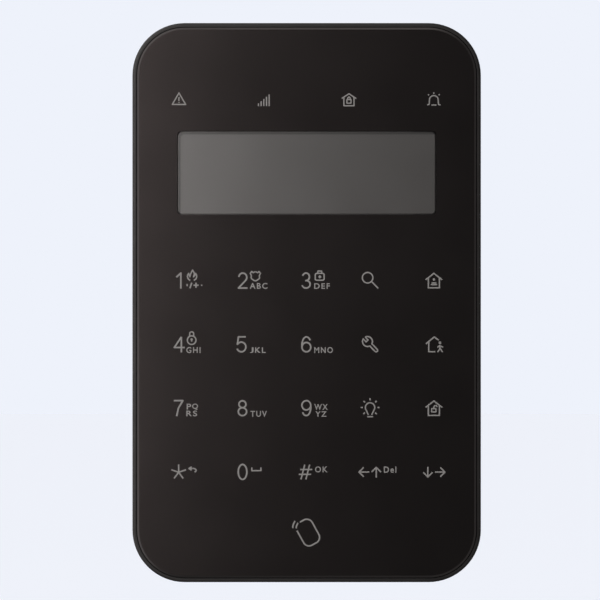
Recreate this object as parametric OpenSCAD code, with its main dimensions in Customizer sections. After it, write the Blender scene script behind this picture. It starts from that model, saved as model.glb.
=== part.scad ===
// Wall-mounted alarm keypad panel with a touch face, a display window and a tag reader.
// Every module draws its piece lying on its back: x to the right, y up the wall and z out of
// the wall towards the user. stand() then turns the piece upright, so that the wall plane is
// y = 0, the face looks along -y and z is up. The origin is the centre of the wall plane.

/* [Body] */
// Width across the shells
body_w = 96.6; // [96:0.2:98]
// Height of the shells
body_h = 155; // [155:0.5:157]
// Corner radius of the outline
corner_r = 14.5; // [14:0.5:15]
// Wall thickness of both shells
wall_t = 2.2; // [2.2:0.1:2.4]
// Height of the seam between the shells, off the wall
seam_z = 13.2; // [13:0.1:13.6]

/* [Face] */
// Overall depth, from the wall to the front of the face panel
body_d = 23; // [23:0.1:23.6]
// Thickness of the face panel
panel_t = 2; // [1.8:0.1:2]
// Bevel along the edge of the face panel
panel_bevel = 0.6; // [0.4:0.1:0.8]
// Width of the rim that shows around the face panel
rim_w = 1.1; // [1:0.1:1.2]
// Gap between the rim and the face panel
panel_gap = 0.25; // [0.2:0.05:0.3]

/* [Display] */
// Width of the display opening
window_w = 71.7; // [70:0.1:72]
// Height of the display opening
window_h = 23.2; // [22:0.1:24]
// Height of the display centre above the middle of the panel
window_y = 35.9; // [35.8:0.1:36.4]
// How far the window lies behind the face
window_recess = 0.4; // [0.3:0.1:0.6]
// Bevel round the window's front
window_bevel = 0.3; // [0.2:0.1:0.5]

/* [Keys] */
// Pitch of the key rows
row_pitch = 17.65; // [17:0.05:18]
// Height of the top key row above the middle
top_row_y = 6; // [5.5:0.1:6]

/* [Wall bracket] */
// Thickness of the bracket plate
bracket_t = 2; // [1.8:0.1:2]
// How far the keypad slides up to come off its hooks
lift_travel = 6; // [5:0.5:6]
// Distance between the two wall-box slots
box_pitch = 60; // [58:1:62]
// Diameter of the holes for the wall screws
wall_hole_d = 4.5; // [4:0.1:5]

/* [Batteries] */
// Diameter of one cell
cell_d = 14.5; // [13.5:0.1:14.5]
// Pitch of the four cells
cell_pitch = 15.2; // [15.2:0.1:15.3]

/* [Hidden] */
$fn = 64;
eps = 0.01;

// Levels off the wall, from the back to the front
back_z = 0.8;                        // rear edge of the rear shell's skirt
floor_z = 5;                         // back wall of the rear shell, rear side
floor_t = 2;
inner_z = floor_z + floor_t;         // back wall, inner side
board_z = 11;                        // main board, rear side
board_t = 1.6;
board_top = board_z + board_t;
touch_z = body_d - panel_t - 1.8;    // touch board, rear side
touch_t = 1;
ledge_z = body_d - panel_t - 0.2;    // ledge that carries the face panel
panel_z = body_d - panel_t;          // back of the face panel
rim_z = body_d - 0.8;                // front of the rim
glass_t = 0.9;                       // each of the LCD's two glasses
glass_z = panel_z - 2 * glass_t;     // where the two glasses meet
window_front = body_d - window_recess;

// Display
window_r = 1.3;                      // corners of the display opening
flange = [4, 0.7];                   // what the window's flange adds to its size, and its depth
holder_size = [82, 33];              // the gasket has the same outline
gasket_t = 0.8;
cell_size = [76, 28.4];
backlight_size = [75.6, 28];
backlight_t = 2.6;
lcd_socket_y = 13.4;

// Outline insets
panel_inset = rim_w + panel_gap;
ledge_inset = 5;
half_w = body_w / 2;
half_h = body_h / 2;

// Wall bracket
bracket_gap = 0.6;                   // clearance to the skirt at the sides and the top
bracket_w = body_w - 2 * (wall_t + bracket_gap);
bracket_top = half_h - wall_t - bracket_gap;
bracket_bottom = -(half_h - wall_t - lift_travel - 2.8);
bracket_r = corner_r - wall_t - bracket_gap;
bracket_rim = [1.6, 1.6];            // width and height of the stiffening rim
pocket_count = [6, 9];               // shallow pockets in the wall side, across and up
pocket_depth = 0.8;
pocket_rib = 1.6;                    // width of the ribs between the pockets
pocket_margin = 3.5;                 // solid border round the pockets
land = 3;                            // solid ring left round each hole
box_y = 14;                          // height of the wall-box slots
box_slot = [9, 4.4];                 // length and width of one slot
plug_pitch = [68, 126];              // wall-plug holes, across and up
plug_y = 3;
cable_hole = [30, 20];
cable_y = 30;

// Hooks that hold the rear shell
hook_x = 38;
hook_ys = [44, -30];
hook_w = 5;
hook_post = 3;                       // height of a hook's stem along the wall
hook_nose = 5;                       // reach of a hook's nose above its stem
hook_nose_t = 1.6;
hook_play = 0.3;

// Locking screw, which comes up through the bracket's lip
lip_w = 16;
lip_depth = 10.4;
lip_t = 3.5;
lip_low = -(half_h - 0.2);
lock_z = 7;
lock_head = [2.7, 1.8];              // radius and height
lock_shank = [1.45, 9.4];            // radius and length
lock_bore_r = 1.5;

// Screws that join the shells, and those that hold the main board: radius and height
case_head = [2.2, 1.3];
case_shank = [1, 10.7];
board_head = [2.4, 1.4];
board_shank = [1, 4.4];
case_posts = [for (y = [58, 2, -56], s = [-1, 1]) [s * (half_w - 5.4), y]];
board_posts = [[-34, 10], [34, 10], [-30, 66], [30, 66]];

// Rear controls on the main board
tamper_at = [22, 60];
tamper_slot_w = 5.2;
plunger_r = 2;
collar_r = 3.9;
power_at = [-25, 60.5];
power_travel = 2;
pairing_at = [-10, 62];
terminal_at = [0, 30];

// Battery bay
bay_low = -55.6;
bay_high = -1.2;
bay_t = 1.4;
bay_half = 2 * cell_pitch;
bay_roof = 17.2;                     // inner side of the bay's floor, towards the face
cell_len = 50.5;
cell_z = bay_roof - 0.05 - cell_d / 2;
contact_t = 0.4;
spring_len = bay_high - bay_low - 2 * contact_t - cell_len;
lead_x = 1.5 * cell_pitch;

// Cable between the boards
ribbon_x = -23.8;

// Boards: width, low edge and high edge
touch_span = [79, -70.5, 18];
main_span = [78.8, 3.6, 70];

// Parts on the main board
chip_at = [14, 17];
shield_at = [-16, 46];
antenna_at = [-22, 66.6];
buzzer_at = [14, 65.3];

// Keys and lights
key_xs = [-32.6, -15, 2.6, 18.6, 35.3];
key_ys = [for (k = [0:3]) top_row_y - k * row_pitch];
key_led = [3.2, 1.6];
status_led = [2, 1.25];
led_t = 0.7;
led_hole_r = 1.4;
pipe_r = 3.2;
tag_y = -62;
loop_size = [54, 15];                // outermost loop of the tag antenna
loop_w = 0.6;                        // width of the copper, and of the gap to the next loop
status_xs = [-35.4, -11.8, 11.8, 35.4];
status_y = 56.2;

// ---------------------------------------------------------------- shapes

// Turns a piece that lies on its back upright
module stand() {
    rotate([90, 0, 0]) children();
}

// Flat rounded rectangle
module plate(w, h, r) {
    square([w, h - 2 * r], center = true);
    square([w - 2 * r, h], center = true);
    for (sx = [-1, 1], sy = [-1, 1])
        translate([sx * (w / 2 - r), sy * (h / 2 - r)]) circle(r);
}

// Rounded slab between two levels
module slab(w, h, r, z0, z1) {
    translate([0, 0, z0]) linear_extrude(z1 - z0) plate(w, h, r);
}

// The body's outline, drawn in by inset, between two levels
module outline(inset, z0, z1) {
    slab(body_w - 2 * inset, body_h - 2 * inset, corner_r - inset, z0, z1);
}

// Rounded slab whose edge follows a profile of [inset, level] points, from the bottom up
module profiled_slab(w, h, r, edge) {
    low = edge[0][1];
    high = edge[len(edge) - 1][1];
    back = [for (i = [len(edge) - 1:-1:0]) edge[i]];
    for (sx = [-1, 1], sy = [-1, 1])
        translate([sx * (w / 2 - r), sy * (h / 2 - r), 0]) rotate_extrude()
            polygon(concat([[0, low]], [for (p = edge) [r - p[0], p[1]]], [[0, high]]));
    rotate([90, 0, 0]) linear_extrude(h - 2 * r, center = true)
        polygon(concat([for (p = edge) [w / 2 - p[0], p[1]]],
            [for (p = back) [p[0] - w / 2, p[1]]]));
    rotate([90, 0, 90]) linear_extrude(w - 2 * r, center = true)
        polygon(concat([for (p = edge) [h / 2 - p[0], p[1]]],
            [for (p = back) [p[0] - h / 2, p[1]]]));
}

// Frame between two insets of the outline
module frame(outer, inner, z0, z1) {
    difference() {
        outline(outer, z0, z1);
        outline(inner, z0 - 1, z1 + 1);
    }
}

// Block centred on a point in x and y, between two levels
module block(at, size, z0, z1) {
    translate([at[0] - size[0] / 2, at[1] - size[1] / 2, z0])
        cube([size[0], size[1], z1 - z0]);
}

// Round post or hole between two levels
module rod(at, r, z0, z1) {
    translate([at[0], at[1], z0]) cylinder(h = z1 - z0, r = r);
}

// Cross recess in a screw head that faces up
module cross_recess(size, depth) {
    for (turn = [0, 90])
        rotate(turn) translate([-size / 2, -size / 8, -depth]) cube([size, size / 4, depth + 1]);
}

// Wire coil along +z, from radius r0 to r1
module coil(r0, r1, turns, len, wire, steps = 20, sides = 6) {
    n = turns * steps;
    points = [
        for (i = [0:n], j = [0:sides - 1])
            let (
                a = 360 * i / steps,
                b = 360 * j / sides,
                r = r0 + (r1 - r0) * i / n + wire * cos(b),
                z = wire + (len - 2 * wire) * i / n + wire * sin(b)
            )
            [r * cos(a), r * sin(a), z]
    ];
    faces = concat(
        [[for (j = [sides - 1:-1:0]) j]],
        [for (i = [0:n - 1], j = [0:sides - 1])
            let (k = (j + 1) % sides)
            [i * sides + j, i * sides + k, (i + 1) * sides + k, (i + 1) * sides + j]],
        [[for (j = [0:sides - 1]) n * sides + j]]
    );
    polyhedron(points, faces);
}

// Thin strip of the given width across x, whose section follows points in y and z
module strip(x, width, thick, path) {
    n = len(path);
    way = [for (i = [0:n - 2]) (path[i + 1] - path[i]) / norm(path[i + 1] - path[i])];
    side = [
        for (i = [0:n - 1])
            let (a = way[max(i - 1, 0)], b = way[min(i, n - 2)])
            [-a[1] - b[1], a[0] + b[0]] * thick / 2 / (1 + a * b)
    ];
    translate([x - width / 2, 0, 0]) rotate([90, 0, 90]) linear_extrude(width)
        polygon(concat([for (i = [0:n - 1]) path[i] + side[i]],
            [for (i = [n - 1:-1:0]) path[i] - side[i]]));
}

// ---------------------------------------------------------------- wall bracket

// Hook whose nose points up the wall, ahead of the rear shell's back wall
module hook(at) {
    nose_z = inner_z + hook_play;
    block([at[0], at[1]], [hook_w, hook_post], bracket_t - eps, nose_z + hook_nose_t);
    block([at[0], at[1] + hook_nose / 2], [hook_w, hook_post + hook_nose],
        nose_z, nose_z + hook_nose_t);
}

// Pockets in the wall side, which leave a grid of ribs and a land round every hole
module wall_side_pockets() {
    size = [bracket_w, bracket_top - bracket_bottom] - 2 * [pocket_margin, pocket_margin];
    mid = (bracket_top + bracket_bottom) / 2;
    pitch = [size[0] / pocket_count[0], size[1] / pocket_count[1]];
    difference() {
        intersection() {
            translate([0, mid, 0])
                slab(size[0], size[1], bracket_r - pocket_margin, -1, pocket_depth);
            for (i = [0:pocket_count[0] - 1], j = [0:pocket_count[1] - 1])
                block([(i + 0.5) * pitch[0] - size[0] / 2, mid + (j + 0.5) * pitch[1] - size[1] / 2],
                    pitch - [pocket_rib, pocket_rib], -1, pocket_depth + 1);
        }
        for (sx = [-1, 1], sy = [-1, 1])
            rod([sx * plug_pitch[0] / 2, plug_y + sy * plug_pitch[1] / 2],
                wall_hole_d / 2 + land, -2, 2);
        for (s = [-1, 1])
            block([s * box_pitch / 2, box_y], box_slot + 2 * [land, land], -2, 2);
        translate([0, cable_y, 0])
            slab(cable_hole[0] + 2 * land, cable_hole[1] + 2 * land, 6, -2, 2);
        block([tamper_at[0], tamper_at[1] + lift_travel / 2],
            [tamper_slot_w + 2 * land, lift_travel + tamper_slot_w + 2 * land], -2, 2);
        block([0, 0], [26, 10], -2, 2);
    }
}

module wall_bracket() {
    h = bracket_top - bracket_bottom;
    mid = (bracket_top + bracket_bottom) / 2;
    color("#2b2b2d") difference() {
        union() {
            translate([0, mid, 0]) slab(bracket_w, h, bracket_r, 0, bracket_t);
            translate([0, mid, 0]) difference() {
                slab(bracket_w, h, bracket_r, bracket_t - eps, bracket_t + bracket_rim[1]);
                slab(bracket_w - 2 * bracket_rim[0], h - 2 * bracket_rim[0],
                    bracket_r - bracket_rim[0], 0, bracket_t + bracket_rim[1] + 1);
            }
            for (y = hook_ys, s = [-1, 1]) hook([s * hook_x, y]);
            block([0, (lip_low + bracket_bottom + 2) / 2],
                [lip_w, bracket_bottom + 2 - lip_low], 0, bracket_t);
            block([0, lip_low + lip_t / 2], [lip_w, lip_t], 0, lip_depth);
        }
        // wall-box slots
        for (s = [-1, 1]) {
            reach = (box_slot[0] - box_slot[1]) / 2;
            block([s * box_pitch / 2, box_y], [2 * reach, box_slot[1]], -1, bracket_t + 1);
            for (e = [-1, 1])
                rod([s * box_pitch / 2 + e * reach, box_y], box_slot[1] / 2, -1, bracket_t + 1);
        }
        // wall-plug holes
        for (sx = [-1, 1], sy = [-1, 1])
            rod([sx * plug_pitch[0] / 2, plug_y + sy * plug_pitch[1] / 2],
                wall_hole_d / 2, -1, bracket_t + 1);
        // cable entry
        translate([0, cable_y, 0]) slab(cable_hole[0], cable_hole[1], 3, -1, bracket_t + 1);
        // slot that the tamper plunger reaches the wall through
        block([tamper_at[0], tamper_at[1] + lift_travel / 2],
            [tamper_slot_w, lift_travel + tamper_slot_w], -1, bracket_t + 1);
        wall_side_pockets();
        // locking screw: clearance hole and a seat for its head
        translate([0, lip_low - 1, lock_z]) rotate([-90, 0, 0])
            cylinder(h = lip_t + 2, r = lock_shank[0] + 0.25);
        translate([0, lip_low - 1, lock_z]) rotate([-90, 0, 0])
            cylinder(h = 3, r = lock_head[0] + 0.3);
    }
}

module lock_screw() {
    seat = lip_low + 1.95;
    color("silver") translate([0, seat, lock_z]) rotate([-90, 0, 0]) difference() {
        union() {
            translate([0, 0, -lock_head[1]]) cylinder(h = lock_head[1], r = lock_head[0]);
            translate([0, 0, -eps]) cylinder(h = lock_shank[1], r = lock_shank[0]);
        }
        translate([0, 0, -lock_head[1]]) mirror([0, 0, 1]) cross_recess(3.4, 1);
    }
}

// ---------------------------------------------------------------- shells

// Tub that the batteries lie in, open towards the wall
module bay_walls() {
    mid = (bay_low + bay_high) / 2;
    block([0, mid], [2 * (bay_half + bay_t), bay_high - bay_low + 2 * bay_t],
        floor_z, bay_roof + 1);
}

module bay_cavity() {
    mid = (bay_low + bay_high) / 2;
    block([0, mid], [2 * bay_half, bay_high - bay_low], floor_z - 1, bay_roof);
    for (s = [-1, 1])
        block([s * lead_x, bay_high + bay_t / 2], [3, bay_t + 1], 8.6, 9.4);
}

module bay_ribs() {
    for (k = [-1:1])
        block([k * cell_pitch, (bay_low + bay_high) / 2], [0.5, 44], 14.2, bay_roof + eps);
}

module rear_shell() {
    pocket = [20, 5.7];
    notch = [lip_w + 0.8, 4.2];
    color("#26262a") union() {
        difference() {
            union() {
                difference() {
                    union() {
                        profiled_slab(body_w, body_h, corner_r,
                            [[1, back_z], [0.3, back_z + 0.3], [0, back_z + 1], [0, seam_z]]);
                        outline(wall_t - 1, seam_z - eps, seam_z + 1.4);
                    }
                    outline(wall_t, back_z - 1, floor_z);
                    outline(wall_t, inner_z, seam_z + 2);
                }
                bay_walls();
                for (p = case_posts) {
                    rod(p, 3.2, floor_z, 9);
                    block([sign(p[0]) * (half_w - 2.5), p[1]], [4, 3], floor_z, 9);
                }
                for (p = board_posts) rod(p, 2.5, inner_z - eps, board_z);
                rod(tamper_at, 5.2, 2.4, inner_z);
                block([0, -half_h + pocket[1] / 2], pocket, floor_z, 12.4);
                block([0, -half_h + 8.8], [9, 10.4], 3.8, 10.4);
            }
            bay_cavity();
            // notch for the bracket's lip, and the locking screw's bore beyond it
            block([0, -half_h - 1 + (notch[1] + 1) / 2], [notch[0], notch[1] + 1], -1, 10.8);
            translate([0, -half_h, lock_z]) rotate([-90, 0, 0])
                cylinder(h = 12.6, r = lock_bore_r);
            // keyhole slots for the hooks
            for (y = hook_ys, s = [-1, 1]) {
                low = y - hook_post / 2 - lift_travel - 0.2;
                high = y + hook_post / 2 + 0.05;
                block([s * hook_x, (low + high) / 2], [hook_w + 1.2, high - low],
                    floor_z - 1, inner_z + 1);
            }
            for (p = case_posts) {
                rod(p, 1.3, floor_z - 1, 10);
                rod(p, 2.4, floor_z - 1, 6.4);
            }
            for (p = board_posts) rod(p, 1.05, inner_z + 0.6, board_z + 1);
            // tamper guide: a tube with a narrow mouth that stops the plunger's collar
            rod(tamper_at, collar_r + 0.2, 3.6, inner_z + 1);
            rod(tamper_at, plunger_r + 0.15, 1, 4);
            // openings over the rear controls and the supply terminal
            block(power_at, [power_travel + 5, 3.4], floor_z - 1, inner_z + 1);
            rod(pairing_at, 1.75, floor_z - 1, inner_z + 1);
            block([terminal_at[0], terminal_at[1] - 2], [12, 14.4], floor_z - 1, inner_z + 1);
            // sounder slots in the top wall
            for (k = [-2:2])
                block([buzzer_at[0] + k * 2.4, half_h - 1], [1.2, 4], 8.6, 12.2);
        }
        bay_ribs();
    }
}

// Outside of the front shell: a shadow line along the seam and a rounded rim
module front_outside() {
    roll = 0.6;
    groove = 0.4;
    profiled_slab(body_w, body_h, corner_r, concat(
        [[groove, seam_z], [groove, seam_z + groove], [0, seam_z + groove]],
        [for (a = [0:15:90]) [roll * (1 - cos(a)), rim_z - roll * (1 - sin(a))]]
    ));
}

module front_shell() {
    color("#26262a") difference() {
        union() {
            difference() {
                front_outside();
                outline(rim_w, ledge_z, rim_z + 1);
                outline(ledge_inset, ledge_z - 1.4, rim_z);
                outline(wall_t, seam_z - 1, ledge_z - 1.4);
                outline(wall_t - 1.1, seam_z - 1, seam_z + 1.6);
            }
            for (p = case_posts) {
                rod(p, 3, 9.2, ledge_z - 1.4 + eps);
                block([sign(p[0]) * (half_w - 2.4), p[1]], [4, 3],
                    seam_z + 1.8, ledge_z - 1.4 + eps);
            }
        }
        for (p = case_posts) rod(p, 1.1, 8, 18);
    }
}

module case_screws() {
    color("silver") for (p = case_posts) translate([p[0], p[1], floor_z + 0.05]) difference() {
        union() {
            cylinder(h = case_head[1], r = case_head[0]);
            translate([0, 0, case_head[1] - 0.05]) cylinder(h = case_shank[1], r = case_shank[0]);
        }
        mirror([0, 0, 1]) cross_recess(2.8, 0.8);
    }
}

module rating_label() {
    color("gainsboro") translate([0, 13, 0]) slab(44, 12, 1.5, floor_z - 0.15, floor_z);
}

// ---------------------------------------------------------------- face

module face_panel() {
    w = body_w - 2 * panel_inset;
    h = body_h - 2 * panel_inset;
    r = corner_r - panel_inset;
    color("#151515") difference() {
        profiled_slab(w, h, r,
            [[0, panel_z], [0, body_d - panel_bevel], [panel_bevel, body_d]]);
        translate([0, window_y, 0]) slab(window_w, window_h, window_r, panel_z - 1, body_d + 1);
    }
}

module panel_adhesive() {
    color("#3a3a3a") frame(panel_inset + 0.25, panel_inset + 3.2, ledge_z, panel_z);
}

module display_window() {
    play = 0.1;
    color("gray") translate([0, window_y, 0]) {
        profiled_slab(window_w - 2 * play, window_h - 2 * play, window_r - play, [
            [0, panel_z - eps], [0, window_front - window_bevel], [window_bevel, window_front]
        ]);
        slab(window_w + flange[0], window_h + flange[0], 1.5, panel_z - flange[1], panel_z);
    }
}

module display_gasket() {
    color("#2a2a2a") translate([0, window_y, 0]) difference() {
        slab(holder_size[0], holder_size[1], 2, panel_z - gasket_t, panel_z);
        slab(window_w + flange[0] + 0.4, window_h + flange[0] + 0.4, 1.6, 0, body_d);
    }
}

module light_guide() {
    low = touch_span[1] + 0.5;
    high = touch_span[2] - 0.2;
    color("white") translate([0, (low + high) / 2, 0])
        slab(touch_span[0], high - low, 2, panel_z - 0.7, panel_z - 0.1);
}

// ---------------------------------------------------------------- display

module lcd_cell() {
    color("#6f7a68") translate([0, window_y, 0]) {
        block([0, 0.9], cell_size - [0, 2], glass_z, glass_z + glass_t);
        block([0, 0], cell_size, glass_z - glass_t, glass_z);
    }
}

module lcd_backlight() {
    front = glass_z - glass_t - 0.1;
    color("ivory") block([0, window_y], backlight_size, front - backlight_t, front);
}

module lcd_holder() {
    front = panel_z - gasket_t;
    wing_top = status_y + 4.8;
    body_top = window_y + holder_size[1] / 2;
    seat_z = glass_z - glass_t - backlight_t - 0.2;
    color("#e8e6df") difference() {
        union() {
            block([0, window_y], holder_size, board_top, front);
            block([0, (body_top + wing_top) / 2 - 0.5], [78.8, wing_top - body_top + 1],
                front - 2, front);
        }
        block([0, window_y], cell_size + [0.6, 0.6], seat_z, body_d);
        block([0, window_y], [60, 20], board_top - 1, seat_z - 1);
        block([0, window_y - 16], [32, 4], glass_z - 0.3, glass_z + 0.5);
        for (x = status_xs) rod([x, status_y], pipe_r + 0.1, board_top, body_d);
    }
}

// Heat-seal ribbon from the ledge of the glass down to the main board
module lcd_ribbon() {
    y = window_y - holder_size[1] / 2;
    top = glass_z + 0.12;
    socket_mouth = lcd_socket_y + 1.2;
    color("darkorange") strip(0, 26, 0.2, [
        [y + 4, top], [y - 0.6, top], [y - 1.4, top - 0.4], [y - 1.8, top - 1.2],
        [y - 1.9, top - 2.2], [y - 1.9, 15.2], [y - 2.2, 14.3], [y - 2.9, 13.8],
        [y - 3.6, 13.6], [socket_mouth, 13.6]
    ]);
}

module lcd_socket() {
    color("ivory") difference() {
        block([0, lcd_socket_y], [30, 4], board_top, 14.6);
        block([0, lcd_socket_y + 2], [27, 2.2], 13.2, 14);
    }
}

module status_leds() {
    color("lightyellow") for (x = status_xs)
        block([x, status_y], status_led, board_top, board_top + led_t);
}

module status_light_pipes() {
    color("whitesmoke") for (x = status_xs) translate([x, status_y, 0]) {
        translate([0, 0, 13.5]) cylinder(h = 4.7, r1 = pipe_r / 2, r2 = pipe_r);
        rod([0, 0], pipe_r, 18.2 - eps, panel_z - 0.1);
    }
}

// ---------------------------------------------------------------- touch board

// Board with its width, low edge and high edge given, between two levels
module board(span, r, z0, z1) {
    translate([0, (span[1] + span[2]) / 2, 0]) slab(span[0], span[2] - span[1], r, z0, z1);
}

module touch_board() {
    color("darkgreen") difference() {
        board(touch_span, 1, touch_z, touch_z + touch_t);
        for (x = key_xs, y = key_ys) rod([x, y], led_hole_r, 0, body_d);
    }
}

module key_leds() {
    color("lightyellow") for (x = key_xs, y = key_ys)
        block([x, y], key_led, touch_z - led_t, touch_z);
}

// Flat loops that read a tag held against the face
module tag_antenna() {
    front = touch_z + touch_t;
    color("#b87333") translate([0, tag_y, 0]) for (k = [0:3]) {
        size = loop_size - 4 * k * [loop_w, loop_w];
        difference() {
            slab(size[0], size[1], 2, front, front + 0.08);
            slab(size[0] - 2 * loop_w, size[1] - 2 * loop_w, 2 - loop_w, 0, body_d);
        }
    }
}

// Flat cable that folds back between the two boards
module board_ribbon() {
    turn = (touch_z - board_top) / 2 - 1;
    mid = (touch_z + board_top) / 2;
    color("white") strip(ribbon_x, 10, 0.3, concat(
        [[8.2, mid + turn]],
        [for (a = [90:-15:-90]) [12 + turn * cos(a), mid + turn * sin(a)]],
        [[8.2, mid - turn]]
    ));
}

module ribbon_sockets() {
    color("ivory") {
        difference() {
            block([ribbon_x, 6.8], [12.4, 4.2], touch_z - 1.8, touch_z);
            block([ribbon_x, 8.6], [10.6, 2.2], touch_z - 1.35, touch_z - 0.65);
        }
        difference() {
            block([ribbon_x, 6.8], [12.4, 4.2], board_top, board_top + 1.8);
            block([ribbon_x, 8.6], [10.6, 2.2], board_top + 0.65, board_top + 1.35);
        }
    }
}

// ---------------------------------------------------------------- main board

module main_board() {
    color("darkgreen") difference() {
        board(main_span, 2, board_z, board_top);
        for (p = board_posts) rod(p, 1.3, 0, body_d);
    }
}

module board_screws() {
    color("silver") for (p = board_posts) translate([p[0], p[1], board_top]) difference() {
        union() {
            cylinder(h = board_head[1], r = board_head[0]);
            translate([0, 0, -board_shank[1]])
                cylinder(h = board_shank[1] + eps, r = board_shank[0]);
        }
        translate([0, 0, board_head[1]]) cross_recess(3, 0.8);
    }
}

module controller_chip() {
    color("#222222") {
        block(chip_at, [10, 10], board_z - 1.2, board_z - 0.1);
        for (turn = [0:3], k = [-4:4]) translate([chip_at[0], chip_at[1], 0]) rotate(90 * turn)
            block([5.4, k], [1, 0.4], board_z - 0.5, board_z);
    }
}

module radio_shield() {
    color("silver") difference() {
        block(shield_at, [18, 12], board_z - 2.3, board_z);
        block(shield_at, [17.4, 11.4], board_z - 2, board_z + 1);
    }
}

module radio_antenna() {
    color("gold") {
        translate([antenna_at[0], antenna_at[1], 15.4]) rotate([0, 90, 0])
            coil(2, 2, 8, 16, 0.4);
        rod(antenna_at + [0.4, 0.1], 0.35, board_top, 13.6);
    }
}

module board_components() {
    color("#444444") {
        for (y = [36, 43]) rod([26, y], 2.5, board_z - 3.4, board_z);
        block([-28, 34], [4, 4], board_z - 2, board_z);
        block(shield_at, [6, 6], board_z - 1, board_z);
        for (y = [18, 27]) block([-14, y], [5, 4], board_z - 1.5, board_z);
        block([14, 27], [3.2, 2.5], board_z - 0.8, board_z);
        for (k = [0:5]) block([18, 36 + 2.4 * k], [1.6, 0.8], board_z - 0.8, board_z);
        for (k = [0:4]) block([-24 + 3 * k, 37], [0.8, 1.6], board_z - 0.8, board_z);
        for (k = [0:3]) block([-32 + 3 * k, 22], [1.6, 0.8], board_z - 0.6, board_z);
    }
}

module buzzer() {
    color("#1a1a1a") difference() {
        rod(buzzer_at, 4.5, board_top, 17.6);
        rod(buzzer_at, 0.9, 16.4, 18);
    }
}

module power_terminal() {
    at = terminal_at;
    color("seagreen") difference() {
        block(at, [10.2, 8], 6, board_z);
        for (s = [-1, 1]) {
            translate([at[0] + s * 2.5, at[1] - 5, 9]) rotate([-90, 0, 0])
                cylinder(h = 6, r = 1.2);
            rod([at[0] + s * 2.5, at[1] + 1.6], 1.5, 5, 7.2);
        }
    }
}

// ---------------------------------------------------------------- rear controls

module tamper_switch() {
    color("#333333") {
        block(tamper_at, [4.5, 4.5], board_z - 2.4, board_z);
        rod(tamper_at, 1.1, board_z - 3.1, board_z - 2.4 + eps);
    }
}

module tamper_plunger() {
    color("white") {
        rod(tamper_at, plunger_r, 0, 5.2);
        rod(tamper_at, collar_r, 5.15, 6.35);
        rod(tamper_at, 1.2, 6.3, 7.85);
    }
}

module tamper_spring() {
    color("silver") translate([tamper_at[0], tamper_at[1], 6.38])
        coil(3.55, 3.55, 5, board_z - 6.42, 0.25);
}

module power_switch() {
    color("#333333") difference() {
        block(power_at, [8.6, 4], board_z - 3.4, board_z);
        block(power_at, [power_travel + 2.2, 1.8], board_z - 4, board_z - 2.4);
    }
}

module power_slider() {
    at = [power_at[0] - power_travel / 2, power_at[1]];
    color("white") block(at, [1.8, 1.5], 5.4, board_z - 2.6);
}

module pairing_switch() {
    color("#333333") difference() {
        block(pairing_at, [4.5, 4.5], board_z - 2.4, board_z);
        rod(pairing_at, 1.3, board_z - 3, board_z - 1.4);
    }
}

module pairing_button() {
    color("white") {
        rod(pairing_at, 1.6, 5.3, 7.2);
        rod(pairing_at, 2.4, 7.15, 8);
        rod(pairing_at, 1.15, 7.95, board_z - 2.05);
    }
}

// ---------------------------------------------------------------- batteries

// One cell, standing on its negative end at the origin
module cell() {
    r = cell_d / 2;
    rotate_extrude() polygon([
        [0, 0], [r - 0.8, 0], [r, 0.6], [r, cell_len - 1.7],
        [r - 0.7, cell_len - 1], [2.75, cell_len - 1], [2.75, cell_len], [0, cell_len]
    ]);
}

// Cells 1 and 3 point up and cells 2 and 4 point down, so the four are in series
module battery(n) {
    up = n % 2 == 1;
    x = (n - 2.5) * cell_pitch;
    foot = up ? bay_low + contact_t + spring_len : bay_high - contact_t - spring_len;
    color("#c8781e") translate([x, foot, cell_z]) rotate([up ? -90 : 90, 0, 0]) cell();
}

module battery_springs() {
    color("silver") for (n = [1:4]) {
        up = n % 2 == 1;
        foot = up ? bay_low + contact_t : bay_high - contact_t;
        translate([(n - 2.5) * cell_pitch, foot, cell_z]) rotate([up ? -90 : 90, 0, 0])
            coil(4.5, 2.8, 3, spring_len, 0.35);
    }
}

module battery_contacts() {
    low = bay_low + contact_t / 2;
    high = bay_high - contact_t / 2;
    color("silver") {
        for (s = [-1, 1]) {
            block([s * cell_pitch, low], [2 * cell_pitch - 6, contact_t], 5.2, 15.5);
            block([s * lead_x, high], [10, contact_t], 5.2, 15.5);
            block([s * lead_x, high + 1.4], [2.4, 2.8], 8.8, 9.2);
        }
        block([0, high], [2 * cell_pitch - 6, contact_t], 5.2, 15.5);
    }
}

// Insulated leads from the bay's two end contacts to the main board
module battery_leads() {
    start = bay_high - contact_t / 2 + 2.8;
    for (s = [-1, 1]) color(s < 0 ? "red" : "black") {
        translate([s * lead_x, start, 9]) rotate([-90, 0, 0])
            cylinder(h = 6 - start, r = 0.6);
        translate([s * lead_x, 6, 9]) sphere(0.6);
        rod([s * lead_x, 6], 0.6, 9, board_z);
    }
}

// ---------------------------------------------------------------- assembly

stand() wall_bracket();
stand() rear_shell();
stand() front_shell();
stand() face_panel();
stand() panel_adhesive();
stand() display_window();
stand() display_gasket();
stand() lcd_cell();
stand() lcd_backlight();
stand() lcd_holder();
stand() lcd_ribbon();
stand() lcd_socket();
stand() light_guide();
stand() touch_board();
stand() key_leds();
stand() tag_antenna();
stand() main_board();
stand() controller_chip();
stand() radio_shield();
stand() radio_antenna();
stand() board_components();
stand() status_leds();
stand() status_light_pipes();
stand() buzzer();
stand() power_terminal();
stand() board_ribbon();
stand() ribbon_sockets();
stand() tamper_switch();
stand() tamper_plunger();
stand() tamper_spring();
stand() power_switch();
stand() power_slider();
stand() pairing_switch();
stand() pairing_button();
for (n = [1:4])
    stand() battery(n);
stand() battery_springs();
stand() battery_contacts();
stand() battery_leads();
stand() case_screws();
stand() board_screws();
stand() lock_screw();
stand() rating_label();
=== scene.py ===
import math

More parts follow.
